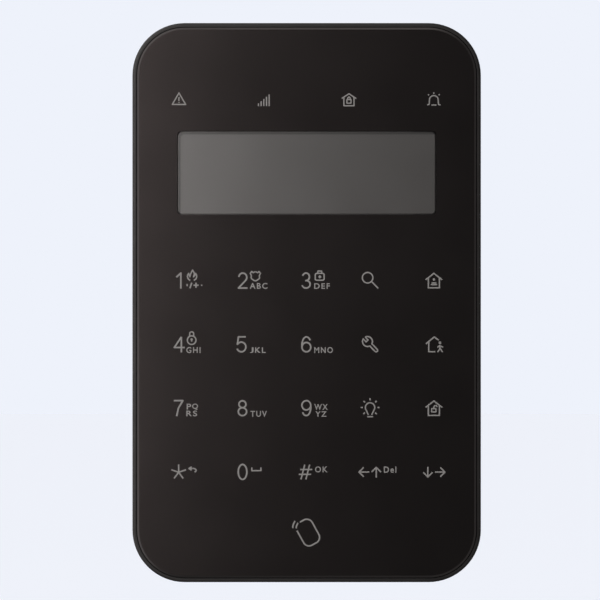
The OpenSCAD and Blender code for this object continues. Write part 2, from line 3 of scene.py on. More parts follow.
import bmesh
import bpy
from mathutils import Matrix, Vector


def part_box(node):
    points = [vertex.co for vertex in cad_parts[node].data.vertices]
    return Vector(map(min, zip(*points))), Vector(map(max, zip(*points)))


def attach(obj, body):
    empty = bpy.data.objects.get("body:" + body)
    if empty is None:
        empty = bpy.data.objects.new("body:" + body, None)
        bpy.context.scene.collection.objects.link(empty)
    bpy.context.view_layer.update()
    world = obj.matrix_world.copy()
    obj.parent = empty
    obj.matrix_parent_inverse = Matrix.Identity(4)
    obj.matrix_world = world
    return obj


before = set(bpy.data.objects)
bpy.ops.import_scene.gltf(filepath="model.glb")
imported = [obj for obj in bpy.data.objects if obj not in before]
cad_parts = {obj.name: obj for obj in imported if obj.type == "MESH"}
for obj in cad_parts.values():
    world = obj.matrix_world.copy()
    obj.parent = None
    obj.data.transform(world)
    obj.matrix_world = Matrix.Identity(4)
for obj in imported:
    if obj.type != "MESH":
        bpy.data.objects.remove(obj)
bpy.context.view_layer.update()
MM = 0.001


# ---------------------------------------------------------------- wall bracket
# The plate that is screwed to the wall first: black ABS, injection moulded in a
# spark-eroded tool, so that it has an even satin grain and no gloss.
def node_in(finish, kind, inputs=None, **settings):
    """Adds a node to a finish. Its inputs are plain values or the sockets that feed them."""
    node = finish.node_tree.nodes.new("ShaderNode" + kind)
    for name, value in settings.items():
        setattr(node, name, value)
    for name, value in (inputs or {}).items():
        if isinstance(value, bpy.types.NodeSocket):
            finish.node_tree.links.new(value, node.inputs[name])
        else:
            node.inputs[name].default_value = value
    return node


def shade_between(finish, factor, *stops):
    """Colours along a factor: each stop is (position, (red, green, blue))."""
    ramp = node_in(finish, "ValToRGB", {"Fac": factor})
    band = ramp.color_ramp
    while len(band.elements) < len(stops):
        band.elements.new(0.5)
    for element, (position, colour) in zip(band.elements, stops):
        element.position = position
        element.color = (*colour, 1.0)
    return ramp.outputs["Color"]


def roughen(finish, shader, low, high, patch):
    """Lets the roughness wander between two values, in patches of the given size."""
    place = node_in(finish, "TexCoord").outputs["Object"]
    wander = node_in(finish, "TexNoise", {"Vector": place, "Scale": 1 / patch, "Detail": 4.0})
    rough = node_in(finish, "MapRange", {
        "Value": wander.outputs["Fac"], "From Min": 0.3, "From Max": 0.7,
        "To Min": low, "To Max": high,
    })
    finish.node_tree.links.new(rough.outputs["Result"], shader.inputs["Roughness"])


def engrave(finish, shader, height, depth):
    """Turns a height between 0 and 1 into relief of the given depth."""
    relief = node_in(finish, "Bump", {"Height": height, "Distance": depth, "Strength": 0.6})
    finish.node_tree.links.new(relief.outputs["Normal"], shader.inputs["Normal"])


def new_finish(name, **sockets):
    """A bare finish and its shader, with plain values on the shader's own sockets."""
    finish = bpy.data.materials.new(name)
    finish.use_nodes = True
    shader = finish.node_tree.nodes["Principled BSDF"]
    for socket, value in sockets.items():
        shader.inputs[socket.replace("_", " ")].default_value = value
    return finish, shader


def moulded(name, dark, light, rough=(0.5, 0.6), patch=9 * MM, grain=0.22 * MM,
            depth=0.012 * MM, **sockets):
    """A moulded, cast or plated surface: two close tones in patches, over a fine grain."""
    finish, shader = new_finish(name, **sockets)
    place = node_in(finish, "TexCoord").outputs["Object"]
    drift = node_in(finish, "TexNoise", {"Vector": place, "Scale": 1 / patch, "Detail": 3.0})
    tone = shade_between(finish, drift.outputs["Fac"], (0.35, dark), (0.65, light))
    finish.node_tree.links.new(tone, shader.inputs["Base Color"])
    roughen(finish, shader, rough[0], rough[1], patch / 3)
    pits = node_in(finish, "TexNoise", {"Vector": place, "Scale": 1 / grain, "Detail": 2.0})
    engrave(finish, shader, pits.outputs["Fac"], depth)
    return finish


def dress(node, finish):
    """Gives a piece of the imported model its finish."""
    for material_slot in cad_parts[node].material_slots:
        material_slot.material = finish


bracket_plastic = moulded("bracket_plastic", (0.017, 0.017, 0.018), (0.023, 0.023, 0.024),
                          rough=(0.52, 0.64), grain=0.3 * MM, depth=0.02 * MM)
dress("wall_bracket", bracket_plastic)


# ---------------------------------------------------------------- rear shell
# The deep half of the case: the same black ABS as the front shell, with a finer grain.
# It carries the battery bay, the screw posts and the keyhole slots for the hooks.
shell_plastic = moulded("shell_plastic", (0.0055, 0.005, 0.005), (0.0068, 0.0062, 0.0062),
                        rough=(0.42, 0.52), patch=14 * MM, Specular_IOR_Level=0.28)
dress("rear_shell", shell_plastic)


# ---------------------------------------------------------------- rating label
# A matt polyester label stuck to the rear shell. It is left blank but for printed rules.
def stripes(finish, direction, pitch):
    """A smooth 0 to 1 wave along one axis, one wave for each pitch."""
    place = node_in(finish, "TexCoord").outputs["Object"]
    wave = node_in(finish, "TexWave", {"Vector": place, "Scale": math.pi / (10 * pitch)},
                   bands_direction=direction)
    return wave.outputs["Fac"]


def label_film(rule_pitch=3 * MM):
    finish, shader = new_finish("label_film")
    tone = shade_between(finish, stripes(finish, "Z", rule_pitch),
                         (0.0, (0.3, 0.3, 0.31)), (0.03, (0.66, 0.66, 0.65)),
                         (1.0, (0.7, 0.7, 0.69)))
    finish.node_tree.links.new(tone, shader.inputs["Base Color"])
    roughen(finish, shader, 0.4, 0.55, 2 * MM)
    return finish


dress("rating_label", label_film())


# ---------------------------------------------------------------- battery contacts
# Plates of tinned steel strip at both ends of the bay, with conical springs of nickelled
# wire on the negative places.
tin_plate = moulded("tin_plate", (0.5, 0.5, 0.49), (0.62, 0.61, 0.6), rough=(0.22, 0.4),
                    patch=4 * MM, grain=0.6 * MM, depth=0.004 * MM, Metallic=1.0)
spring_steel = moulded("spring_steel", (0.42, 0.41, 0.39), (0.55, 0.54, 0.52),
                       rough=(0.2, 0.32), patch=2 * MM, grain=0.3 * MM, depth=0.002 * MM,
                       Metallic=1.0)
dress("battery_contacts", tin_plate)
dress("battery_springs", spring_steel)


# ---------------------------------------------------------------- cells
# Four AA cells in printed shrink sleeves: a black sleeve with a copper band round the
# positive end, and bare steel where the sleeve is cut back.
def along(finish, axis, low, high):
    """Runs from 0 to 1 between two places on an axis."""
    place = node_in(finish, "TexCoord").outputs["Object"]
    parts = node_in(finish, "SeparateXYZ", {"Vector": place})
    run = node_in(finish, "MapRange", {"Value": parts.outputs[axis], "From Min": low,
                                       "From Max": high})
    return run.outputs["Result"]


def cell_sleeve(cell, button_up, cut_back=0.012, band=(0.7, 0.963), edge=0.005):
    """Printed sleeve. The cut back and the band's ends are shares of the cell's length."""
    low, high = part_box(cell)
    ends = (low.z, high.z) if button_up else (high.z, low.z)
    steel, copper, black = (0.5, 0.49, 0.47), (0.42, 0.17, 0.06), (0.02, 0.02, 0.022)
    finish, shader = new_finish(cell + "_sleeve", Metallic=0.35, Coat_Weight=0.4,
                                Coat_Roughness=0.12)
    tone = shade_between(finish, along(finish, "Z", *ends),
                         (0.0, steel), (cut_back, black), (band[0], black),
                         (band[0] + edge, copper), (band[1], copper), (band[1] + edge, steel),
                         (1.0, steel))
    finish.node_tree.links.new(tone, shader.inputs["Base Color"])
    roughen(finish, shader, 0.22, 0.34, 3 * MM)
    return finish


for number in range(1, 5):
    dress(f"battery_{number}", cell_sleeve(f"battery_{number}", number % 2 == 1))


# ---------------------------------------------------------------- battery leads
# Two short leads from the bay's end contacts to the board, in red and black PVC.
def lead_pvc(parting=1 * MM):
    """Red on the left of the case's middle and black on the right of it."""
    finish, shader = new_finish("lead_pvc", Specular_IOR_Level=0.45)
    tone = shade_between(finish, along(finish, "X", -parting, parting),
                         (0.0, (0.45, 0.012, 0.01)), (0.5, (0.02, 0.02, 0.02)))
    finish.node_tree.links.new(tone, shader.inputs["Base Color"])
    roughen(finish, shader, 0.35, 0.5, 0.8 * MM)
    return finish


dress("battery_leads", lead_pvc())


# ---------------------------------------------------------------- main board
# The controller's printed circuit: glass-epoxy laminate under green solder resist, with
# copper tracks that show through it as lighter lines.
def solder_resist(name, mask, track, track_pitch, area=9 * MM):
    """Laminate under solder resist. Tracks run round areas of about the given size."""
    finish, shader = new_finish(name, Coat_Weight=0.5, Coat_Roughness=0.2)
    place = node_in(finish, "TexCoord").outputs["Object"]
    cells = node_in(finish, "TexVoronoi", {"Vector": place, "Scale": 1 / area},
                    distance="CHEBYCHEV")
    pitch = track_pitch / area
    rings = node_in(finish, "Math", {0: cells.outputs["Distance"], 1: pitch},
                    operation="PINGPONG")
    lines = node_in(finish, "MapRange", {"Value": rings.outputs["Value"],
                                         "From Min": 0.25 * pitch, "From Max": 0.4 * pitch})
    tone = shade_between(finish, lines.outputs["Result"], (0.0, track), (1.0, mask))
    finish.node_tree.links.new(tone, shader.inputs["Base Color"])
    roughen(finish, shader, 0.3, 0.42, 1.5 * MM)
    weave = node_in(finish, "TexNoise", {"Vector": place, "Scale": 1 / (0.5 * MM)})
    engrave(finish, shader, weave.outputs["Fac"], 0.01 * MM)
    return finish


board_green = solder_resist("board_green", (0.008, 0.09, 0.03), (0.03, 0.2, 0.07), 0.8 * MM)
dress("main_board", board_green)


# ---------------------------------------------------------------- parts on the main board
# Moulded chip packages, a tinned shield over the radio, a wound antenna of gilt wire, a
# sounder in a black can and a green terminal block for the supply wires.
chip_black = moulded("chip_black", (0.012, 0.012, 0.013), (0.02, 0.02, 0.021),
                     rough=(0.45, 0.6), patch=1.2 * MM, grain=0.1 * MM, depth=0.006 * MM)
gold_wire = moulded("gold_wire", (0.75, 0.48, 0.16), (0.85, 0.58, 0.22), rough=(0.15, 0.28),
                    patch=1.5 * MM, grain=0.2 * MM, depth=0.002 * MM, Metallic=1.0)
green_terminal = moulded("green_terminal", (0.01, 0.17, 0.06), (0.014, 0.22, 0.08),
                         rough=(0.3, 0.42), patch=2 * MM)
white_plastic = moulded("white_plastic", (0.68, 0.67, 0.63), (0.76, 0.75, 0.71),
                        rough=(0.4, 0.52), patch=6 * MM, Subsurface_Weight=0.1,
                        Subsurface_Radius=(0.6 * MM, 0.5 * MM, 0.4 * MM))
dress("radio_shield", tin_plate)
dress("radio_antenna", gold_wire)
dress("power_terminal", green_terminal)
for part in ("controller_chip", "board_components", "buzzer"):
    dress(part, chip_black)


# ---------------------------------------------------------------- rear controls
# The tamper switch with its sprung plunger, the battery slide switch and the pairing
# switch with its button: black switch bodies, with white moulded actuators.
for part in ("tamper_switch", "power_switch", "pairing_switch"):
    dress(part, chip_black)
for part in ("tamper_plunger", "power_slider", "pairing_button"):
    dress(part, white_plastic)
dress("tamper_spring", spring_steel)


# ---------------------------------------------------------------- screws
# Zinc-plated self-tapping screws with cross recesses. The plating is bright, with a
# faint bluish drift.
screw_steel = moulded("screw_steel", (0.5, 0.51, 0.54), (0.66, 0.66, 0.67),
                      rough=(0.18, 0.34), patch=1.2 * MM, grain=0.25 * MM,
                      depth=0.004 * MM, Metallic=1.0)
for part in ("board_screws", "lock_screw", "case_screws"):
    dress(part, screw_steel)


# ---------------------------------------------------------------- display stack
# The holder, a diffusing backlight, the two glasses of the cell, and the heat-seal ribbon
# that joins the cell to its socket on the main board.
def cell_glass():
    """The cell behind its polariser, switched off: dull grey, with a soft sheen."""
    finish, shader = new_finish("lcd_glass", IOR=2.3)
    place = node_in(finish, "TexCoord").outputs["Object"]
    drift = node_in(finish, "TexNoise", {"Vector": place, "Scale": 1 / (30 * MM)})
    tone = shade_between(finish, drift.outputs["Fac"], (0.3, (0.050, 0.048, 0.047)),
                         (0.7, (0.055, 0.053, 0.052)))
    finish.node_tree.links.new(tone, shader.inputs["Base Color"])
    roughen(finish, shader, 0.29, 0.31, 12 * MM)
    return finish


def striped_film(name, film, conductor, pitch, width):
    """Flat cable: conductors at an even pitch, seen through the film."""
    finish, shader = new_finish(name, Coat_Weight=0.3, Coat_Roughness=0.15)
    tone = shade_between(finish, stripes(finish, "X", pitch), (width, conductor),
                         (width + 0.1, film))
    finish.node_tree.links.new(tone, shader.inputs["Base Color"])
    roughen(finish, shader, 0.3, 0.42, 2 * MM)
    return finish


diffuser = moulded("diffuser", (0.74, 0.74, 0.72), (0.82, 0.82, 0.8), rough=(0.55, 0.65),
                   grain=0.15 * MM, Subsurface_Weight=0.2,
                   Subsurface_Radius=(1 * MM, 1 * MM, 1 * MM))
amber_film = striped_film("amber_film", (0.45, 0.16, 0.02), (0.2, 0.06, 0.01), 1 * MM, 0.4)
socket_plastic = moulded("socket_plastic", (0.6, 0.56, 0.46), (0.68, 0.64, 0.53),
                         rough=(0.35, 0.48), patch=3 * MM)
dress("lcd_holder", white_plastic)
dress("lcd_backlight", diffuser)
dress("lcd_cell", cell_glass())
dress("lcd_ribbon", amber_film)
dress("lcd_socket", socket_plastic)


# ---------------------------------------------------------------- touch board and lights
# The board behind the keys, with an LED at each key, the tag reader's copper loops, the
# light guide in front of it and the flat cable down to the main board.
led_body = moulded("led", (0.72, 0.66, 0.3), (0.85, 0.8, 0.5), rough=(0.25, 0.4),
                   patch=0.9 * MM, grain=0.2 * MM, depth=0.004 * MM)
copper = moulded("copper", (0.6, 0.24, 0.1), (0.72, 0.33, 0.16), rough=(0.25, 0.42),
                 patch=3 * MM, grain=0.3 * MM, depth=0.003 * MM, Metallic=1.0)
milky_guide = moulded("light_guide", (0.7, 0.71, 0.7), (0.78, 0.79, 0.78),
                      rough=(0.18, 0.3), grain=0.5 * MM, Subsurface_Weight=0.3,
                      Subsurface_Radius=(1.5 * MM, 1.5 * MM, 1.5 * MM))
flat_cable = striped_film("flat_cable", (0.72, 0.72, 0.7), (0.45, 0.44, 0.4), 1 * MM, 0.35)
dress("touch_board", board_green)
dress("key_leds", led_body)
dress("status_leds", led_body)
dress("status_light_pipes", milky_guide)
dress("light_guide", milky_guide)
dress("tag_antenna", copper)
dress("board_ribbon", flat_cable)
dress("ribbon_sockets", socket_plastic)


# ---------------------------------------------------------------- front shell
# The shallow half of the case, whose rounded rim frames the face panel. It is moulded in
# the rear shell's black ABS, and the case screws hold the two together.
dress("front_shell", shell_plastic)


# ---------------------------------------------------------------- face panel
# Black acrylic, cut to shape, with a polished bevel all round. It is bonded to the front
# shell's ledge by a frame of foam tape.
def polished_black():
    finish, shader = new_finish("face_gloss", Specular_Tint=(1.0, 0.86, 0.85, 1.0))
    place = node_in(finish, "TexCoord").outputs["Object"]
    drift = node_in(finish, "TexNoise", {"Vector": place, "Scale": 1 / (40 * MM)})
    tone = shade_between(finish, drift.outputs["Fac"], (0.3, (0.0036, 0.0034, 0.0034)),
                         (0.7, (0.0044, 0.0042, 0.0042)))
    finish.node_tree.links.new(tone, shader.inputs["Base Color"])
    roughen(finish, shader, 0.235, 0.25, 20 * MM)
    return finish


def bonded_foam(name, dark, light, cell):
    """Closed-cell foam: small round cells, each painted darker towards its middle where the bump
    sinks its pit: painted shade.
    """
    finish, shader = new_finish(name)
    place = node_in(finish, "TexCoord").outputs["Object"]
    cells = node_in(finish, "TexVoronoi", {"Vector": place, "Scale": 1 / cell})
    # Painted shade: the same distance that sinks each cell's pit below also darkens the colour
    # there.
    tone = shade_between(finish, cells.outputs["Distance"], (0.2, dark), (0.7, light))
    finish.node_tree.links.new(tone, shader.inputs["Base Color"])
    roughen(finish, shader, 0.85, 0.95, 2 * MM)
    engrave(finish, shader, cells.outputs["Distance"], 0.08 * MM)
    return finish


dress("face_panel", polished_black())
dress("panel_adhesive", bonded_foam("adhesive_tape", (0.03, 0.03, 0.03), (0.06, 0.06, 0.06),
                                    0.3 * MM))
dress("display_gasket", bonded_foam("foam", (0.02, 0.02, 0.02), (0.045, 0.045, 0.045),
                                    0.4 * MM))


# ---------------------------------------------------------------- display window
# A window with a matt anti-glare face and a smoked tint, stepped into the opening from behind.
# A band along the left and upper edges is painted darker than the tint: painted shadow, as if the
# opening's edge shades it. The bevel round the face is painted pale at the left, fading to dark at
# the right: painted light.
def beyond(finish, low, high):
    """How far a place lies outside the box between two corners."""
    place = node_in(finish, "TexCoord").outputs["Object"]
    offset = node_in(finish, "VectorMath", {0: place, 1: (low + high) / 2},
                     operation="SUBTRACT")
    offset = node_in(finish, "VectorMath", {0: offset.outputs[0]}, operation="ABSOLUTE")
    offset = node_in(finish, "VectorMath", {0: offset.outputs[0], 1: (high - low) / 2},
                     operation="SUBTRACT")
    offset = node_in(finish, "VectorMath", {0: offset.outputs[0], 1: (0.0, 0.0, 0.0)},
                     operation="MAXIMUM")
    reach = node_in(finish, "VectorMath", {0: offset.outputs[0]}, operation="LENGTH")
    return reach.outputs["Value"]


def smoked_matt(flange=2 * MM, edge=0.4 * MM, painted_shadow_width=0.95 * MM, corner=1.0 * MM,
                soft=0.12 * MM):
    """The flange is hidden behind the face panel. The edge is the window's play and bevel."""
    finish, shader = new_finish("window_smoked", Alpha=0.85, IOR=2.15)
    low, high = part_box("display_window")
    place = node_in(finish, "TexCoord").outputs["Object"]
    drift = node_in(finish, "TexNoise", {"Vector": place, "Scale": 1 / (25 * MM)})
    tint = shade_between(finish, drift.outputs["Fac"], (0.3, (0.029, 0.028, 0.027)),
                         (0.7, (0.033, 0.032, 0.031)))
    # Painted light: the bevel's colour runs from pale at the left to dark at the right, as if lit
    # from the left.
    painted_bevel_light = shade_between(finish, along(finish, "X", low.x, high.x), (0.0, (0.23, 0.225, 0.22)),
                        (0.3, (0.15, 0.147, 0.144)), (0.85, (0.085, 0.083, 0.082)),
                        (1.0, (0.03, 0.029, 0.029)))
    # Painted shadow: outside a box held in from the left and upper edges, the colour is a dark
    # painted shadow instead of the smoked tint.
    deep = Vector((0.0, high.y - low.y, 0.0))
    painted_shadow_inset = flange + painted_shadow_width + corner
    unshadowed_low = Vector((low.x + painted_shadow_inset, low.y, low.z)) - deep
    unshadowed_high = Vector((high.x, high.y, high.z - painted_shadow_inset)) + deep
    outside_painted_shadow = node_in(finish, "MapRange", {"Value": beyond(finish, unshadowed_low, unshadowed_high),
                                          "From Min": corner + soft, "From Max": corner - soft})
    face_edge = Vector((flange + edge, 0.0, flange + edge)) - deep
    bevelled = node_in(finish, "MapRange", {
        "Value": beyond(finish, low + face_edge, high - face_edge), "From Max": 0.03 * MM,
    })
    tone = node_in(finish, "MixRGB", {"Fac": outside_painted_shadow.outputs[0], "Color1": (0.02, 0.02, 0.02, 1),
                                      "Color2": tint})
    tone = node_in(finish, "MixRGB", {"Fac": bevelled.outputs[0], "Color1": tone.outputs[0],
                                      "Color2": painted_bevel_light})
    # The painted shadow band also gets a lower specular level: painted shadow on the reflection.
    painted_shadow_sheen = node_in(finish, "MapRange", {"Value": outside_painted_shadow.outputs[0], "To Min": 0.3,
                                         "To Max": 0.5})
    finish.node_tree.links.new(tone.outputs[0], shader.inputs["Base Color"])
    finish.node_tree.links.new(painted_shadow_sheen.outputs[0], shader.inputs["Specular IOR Level"])
    roughen(finish, shader, 0.29, 0.31, 15 * MM)
    return finish


dress("display_window", smoked_matt())


# ---------------------------------------------------------------- key legends
# Pale grey ink, screen printed on the face. Each legend is drawn with a round pen, so every
# stroke has one width and round corners, and the ink stands a few hundredths proud.
face_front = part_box("face_panel")[0].y
led_low, led_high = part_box("key_leds")
LED_HALF = 0.8 * MM
COLUMNS = [-32.6 * MM, -15.0 * MM, 2.6 * MM, 18.6 * MM, 35.3 * MM]
top_row = led_high.z - LED_HALF
row_pitch = (led_high.z - led_low.z - 2 * LED_HALF) / 3
ROWS = [top_row - number * row_pitch for number in range(4)]
INK_HEIGHT = 0.06 * MM

ink = moulded("legend_ink", (0.145, 0.142, 0.139), (0.16, 0.157, 0.154), rough=(0.5, 0.62),
              patch=3 * MM, grain=0.12 * MM, depth=0.003 * MM)


def arc(x, z, wide, start, end, tall=None):
    """Points on an arc about (x, z), between two angles in degrees from the right."""
    tall = tall or wide
    steps = max(2, round(abs(end - start) / 15))
    turns = [math.radians(start + (end - start) * k / steps) for k in range(steps + 1)]
    return [(x + wide * math.cos(turn), z + tall * math.sin(turn)) for turn in turns]


def ring(x, z, wide, tall=None):
    return arc(x, z, wide, 0, 360, tall)


def rounded(x0, z0, x1, z1, corner):
    """A closed rectangle with round corners, starting at the middle of its right side."""
    outline = [(x1, (z0 + z1) / 2)]
    outline += arc(x1 - corner, z1 - corner, corner, 0, 90)
    outline += arc(x0 + corner, z1 - corner, corner, 90, 180)
    outline += arc(x0 + corner, z0 + corner, corner, 180, 270)
    outline += arc(x1 - corner, z0 + corner, corner, 270, 360)
    return outline + outline[:1]


def placed(strokes, x, z, turn=0):
    """The same strokes in another place, turned anticlockwise first."""
    c, s = math.cos(math.radians(turn)), math.sin(math.radians(turn))
    return [[(x + a * c - b * s, z + a * s + b * c) for a, b in stroke] for stroke in strokes]


def pen_tree():
    """Strokes become lines of ink with round corners, flattened and lifted to the face."""
    tree = bpy.data.node_groups.new("pen", "GeometryNodeTree")
    sockets = tree.interface
    sockets.new_socket("Strokes", in_out="INPUT", socket_type="NodeSocketGeometry")
    for name in ("Pen width", "Ink height", "Face"):
        sockets.new_socket(name, in_out="INPUT", socket_type="NodeSocketFloat")
    sockets.new_socket("Ink", in_out="INPUT", socket_type="NodeSocketMaterial")
    sockets.new_socket("Ink lines", in_out="OUTPUT", socket_type="NodeSocketGeometry")

    def add(kind, inputs, **settings):
        node = tree.nodes.new(kind)
        for name, value in settings.items():
            setattr(node, name, value)
        for name, value in inputs.items():
            if isinstance(value, bpy.types.NodeSocket):
                tree.links.new(value, node.inputs[name])
            else:
                node.inputs[name].default_value = value
        return node

    given = tree.nodes.new("NodeGroupInput").outputs
    half = add("ShaderNodeMath", {0: given["Pen width"], 1: 0.5}, operation="MULTIPLY")
    flat = add("ShaderNodeMath", {0: given["Ink height"], 1: given["Pen width"]},
               operation="DIVIDE")
    nib = add("GeometryNodeCurvePrimitiveCircle", {"Resolution": 12, "Radius": half.outputs[0]})
    path = add("GeometryNodeMeshToCurve", {"Mesh": given["Strokes"]})
    line = add("GeometryNodeCurveToMesh", {"Curve": path.outputs[0],
                                           "Profile Curve": nib.outputs[0], "Fill Caps": True})
    bead = add("GeometryNodeMeshUVSphere", {"Segments": 12, "Rings": 6,
                                            "Radius": half.outputs[0]})
    corners = add("GeometryNodeInputNamedAttribute", {"Name": "corner"}, data_type="BOOLEAN")
    beads = add("GeometryNodeInstanceOnPoints", {"Points": given["Strokes"],
                                                 "Selection": corners.outputs["Attribute"],
                                                 "Instance": bead.outputs[0]})
    both = tree.nodes.new("GeometryNodeJoinGeometry")
    tree.links.new(line.outputs[0], both.inputs[0])
    tree.links.new(beads.outputs[0], both.inputs[0])
    squeeze = add("ShaderNodeCombineXYZ", {0: 1.0, 1: flat.outputs[0], 2: 1.0})
    lift = add("ShaderNodeCombineXYZ", {1: given["Face"]})
    pressed = add("GeometryNodeTransform", {"Geometry": both.outputs[0],
                                            "Scale": squeeze.outputs[0],
                                            "Translation": lift.outputs[0]})
    smooth = add("GeometryNodeSetShadeSmooth", {"Geometry": pressed.outputs[0]})
    real = add("GeometryNodeRealizeInstances", {"Geometry": smooth.outputs[0]})
    inked = add("GeometryNodeSetMaterial", {"Geometry": real.outputs[0],
                                            "Material": given["Ink"]})
    tree.links.new(inked.outputs[0], tree.nodes.new("NodeGroupOutput").inputs[0])
    return tree


pen = pen_tree()


def run_tree(piece, tree, **inputs):
    """Runs a Geometry Nodes tree on a piece and keeps the result as its plain mesh."""
    modifier = piece.modifiers.new("maker", "NODES")
    modifier.node_group = tree
    for item in tree.interface.items_tree:
        value = inputs.get(item.name.replace(" ", "_"))
        if item.in_out == "INPUT" and value is not None:
            modifier[item.identifier] = value
    bpy.context.view_layer.update()
    evaluated = piece.evaluated_get(bpy.context.evaluated_depsgraph_get())
    made = bpy.data.meshes.new_from_object(evaluated)
    piece.modifiers.remove(modifier)
    piece.data = made


def bend(a, b, c):
    """How far a stroke turns at b, in degrees."""
    turn = math.atan2(c[1] - b[1], c[0] - b[0]) - math.atan2(b[1] - a[1], b[0] - a[0])
    return abs((math.degrees(turn) + 180) % 360 - 180)


def print_strokes(name, strokes, width, sharp=25):
    """Prints strokes, given in millimetres on the face, as one piece of ink.

    A stroke that turns by more than the sharp angle is parted there, with a round corner.
    """
    points, edges, corners = [], [], []
    for stroke in strokes:
        last = len(stroke) - 1
        closed = math.dist(stroke[0], stroke[last]) < 1e-6
        for k, (x, z) in enumerate(stroke):
            corner = 0 < k < last and bend(stroke[k - 1], stroke[k], stroke[k + 1]) > sharp
            if k > 0:
                edges.append((len(points) - 1, len(points)))
            points.append((x * MM, 0.0, z * MM))
            corners.append(corner or (closed and k == last))
            if corner:
                points.append((x * MM, 0.0, z * MM))
                corners.append(False)
    mesh = bpy.data.meshes.new(name)
    mesh.from_pydata(points, edges, [])
    mesh.attributes.new("corner", "BOOLEAN", "POINT").data.foreach_set("value", corners)
    piece = bpy.data.objects.new(name, mesh)
    bpy.context.scene.collection.objects.link(piece)
    run_tree(piece, pen, Pen_width=width, Ink_height=INK_HEIGHT, Face=face_front, Ink=ink)
    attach(piece, "keypad")


def at_key(strokes, column, row):
    """Strokes drawn about a key's middle, in millimetres, in their place on the face."""
    return placed(strokes, COLUMNS[column] / MM, ROWS[row] / MM)


# Digits are 4.15 mm tall. They stand on the key's left, on a common line.
DIGIT_BASE = -1.98
SIX = [ring(1.22, 1.3, 1.22, tall=1.3), arc(1.25, 1.9, 1.25, 35, 180, tall=2.25) + [(0.0, 1.3)]]
DIGITS = {
    "1": [[(-0.05, 3.0), (1.2, 4.15), (1.2, -0.15)]],
    "2": [arc(1.2, 2.95, 1.1, 175, -38, tall=1.2) + [(0.0, 0.0), (2.5, 0.0)]],
    "3": [arc(1.05, 3.1, 0.95, 165, -90, tall=1.05) + [(0.8, 2.05)],
          arc(1.05, 1.05, 1.15, 90, -165, tall=1.05)],
    "4": [[(1.95, 4.15), (0.0, 1.2), (2.85, 1.2)], [(1.95, 4.15), (1.95, -0.15)]],
    "5": [[(2.35, 4.15), (0.35, 4.15), (0.05, 2.1)] + arc(1.15, 1.35, 1.25, 140, -160, tall=1.35)],
    "6": SIX,
    "7": [[(0.0, 4.15), (2.5, 4.15), (1.3, 2.1), (0.8, -0.15)]],
    "8": [ring(1.15, 1.1, 1.15, tall=1.1), ring(1.15, 3.15, 0.97, tall=0.95)],
    "9": placed(SIX, 2.45, 4.15, turn=180),
    "0": [ring(1.23, 2.07, 1.2, tall=2.07)],
    "*": [[(1.95, 2.0), (1.95 + 2.15 * math.cos(turn), 2.0 + 2.15 * math.sin(turn))]
          for turn in (math.radians(90 + 72 * k) for k in range(5))],
    "#": [[(1.7, 4.1), (0.65, 0.0)], [(3.05, 4.1), (2.0, 0.0)],
          [(0.4, 2.75), (3.75, 2.75)], [(0.05, 1.4), (3.4, 1.4)]],
}

# For each digit or sign: its left edge from the key's middle, and the key's column and row.
DIGIT_PLACES = {
    "1": (-3.39, 0, 0), "2": (-3.85, 1, 0), "3": (-3.8, 2, 0), "4": (-4.0, 0, 1),
    "5": (-4.2, 1, 1), "6": (-3.88, 2, 1), "7": (-4.15, 0, 2), "8": (-3.9, 1, 2),
    "9": (-3.9, 2, 2), "*": (-4.75, 0, 3), "0": (-3.95, 1, 3), "#": (-4.8, 2, 3),
}
digit_strokes = []
sign_strokes = []
for digit, (left, column, row) in DIGIT_PLACES.items():
    strokes = at_key(placed(DIGITS[digit], left, DIGIT_BASE), column, row)
    if digit.isdigit():
        digit_strokes += strokes
    else:
        sign_strokes += strokes
print_strokes("digit_legends", digit_strokes, 0.47 * MM)
print_strokes("sign_legends", sign_strokes, 0.42 * MM)


# ---------------------------------------------------------------- letters beside the digits
# The usual letters of a phone keypad and two command words, in small bold type of the
# same ink.
def words_mesh(name, words, weight=0.018, spacing=1.25, weld=0.0005 * MM):
    """Words as one flat mesh of ink. Each is (text, left, base, width, height) in mm."""
    ink_mesh = bmesh.new()
    for text, left, base, width, height in words:
        curve = bpy.data.curves.new("word", "FONT")
        curve.body = text
        curve.size = 1.0
        curve.offset = weight
        curve.space_character = spacing
        curve.extrude = 0.5
        curve.resolution_u = 4
        holder = bpy.data.objects.new("word", curve)
        bpy.context.scene.collection.objects.link(holder)
        bpy.context.view_layer.update()
        evaluated = holder.evaluated_get(bpy.context.evaluated_depsgraph_get())
        flat = bpy.data.meshes.new_from_object(evaluated)
        bpy.data.objects.remove(holder)
        lows = [min(v.co[k] for v in flat.vertices) for k in range(2)]
        highs = [max(v.co[k] for v in flat.vertices) for k in range(2)]
        for v in flat.vertices:
            across = (v.co.x - lows[0]) / (highs[0] - lows[0])
            up = (v.co.y - lows[1]) / (highs[1] - lows[1])
            v.co = ((left + across * width) * MM, face_front - v.co.z * INK_HEIGHT,
                    (base + up * height) * MM)
        ink_mesh.from_mesh(flat)
        bpy.data.meshes.remove(flat)
    bmesh.ops.remove_doubles(ink_mesh, verts=ink_mesh.verts, dist=weld)
    bmesh.ops.recalc_face_normals(ink_mesh, faces=ink_mesh.faces)
    mesh = bpy.data.meshes.new(name)
    ink_mesh.to_mesh(mesh)
    ink_mesh.free()
    return mesh


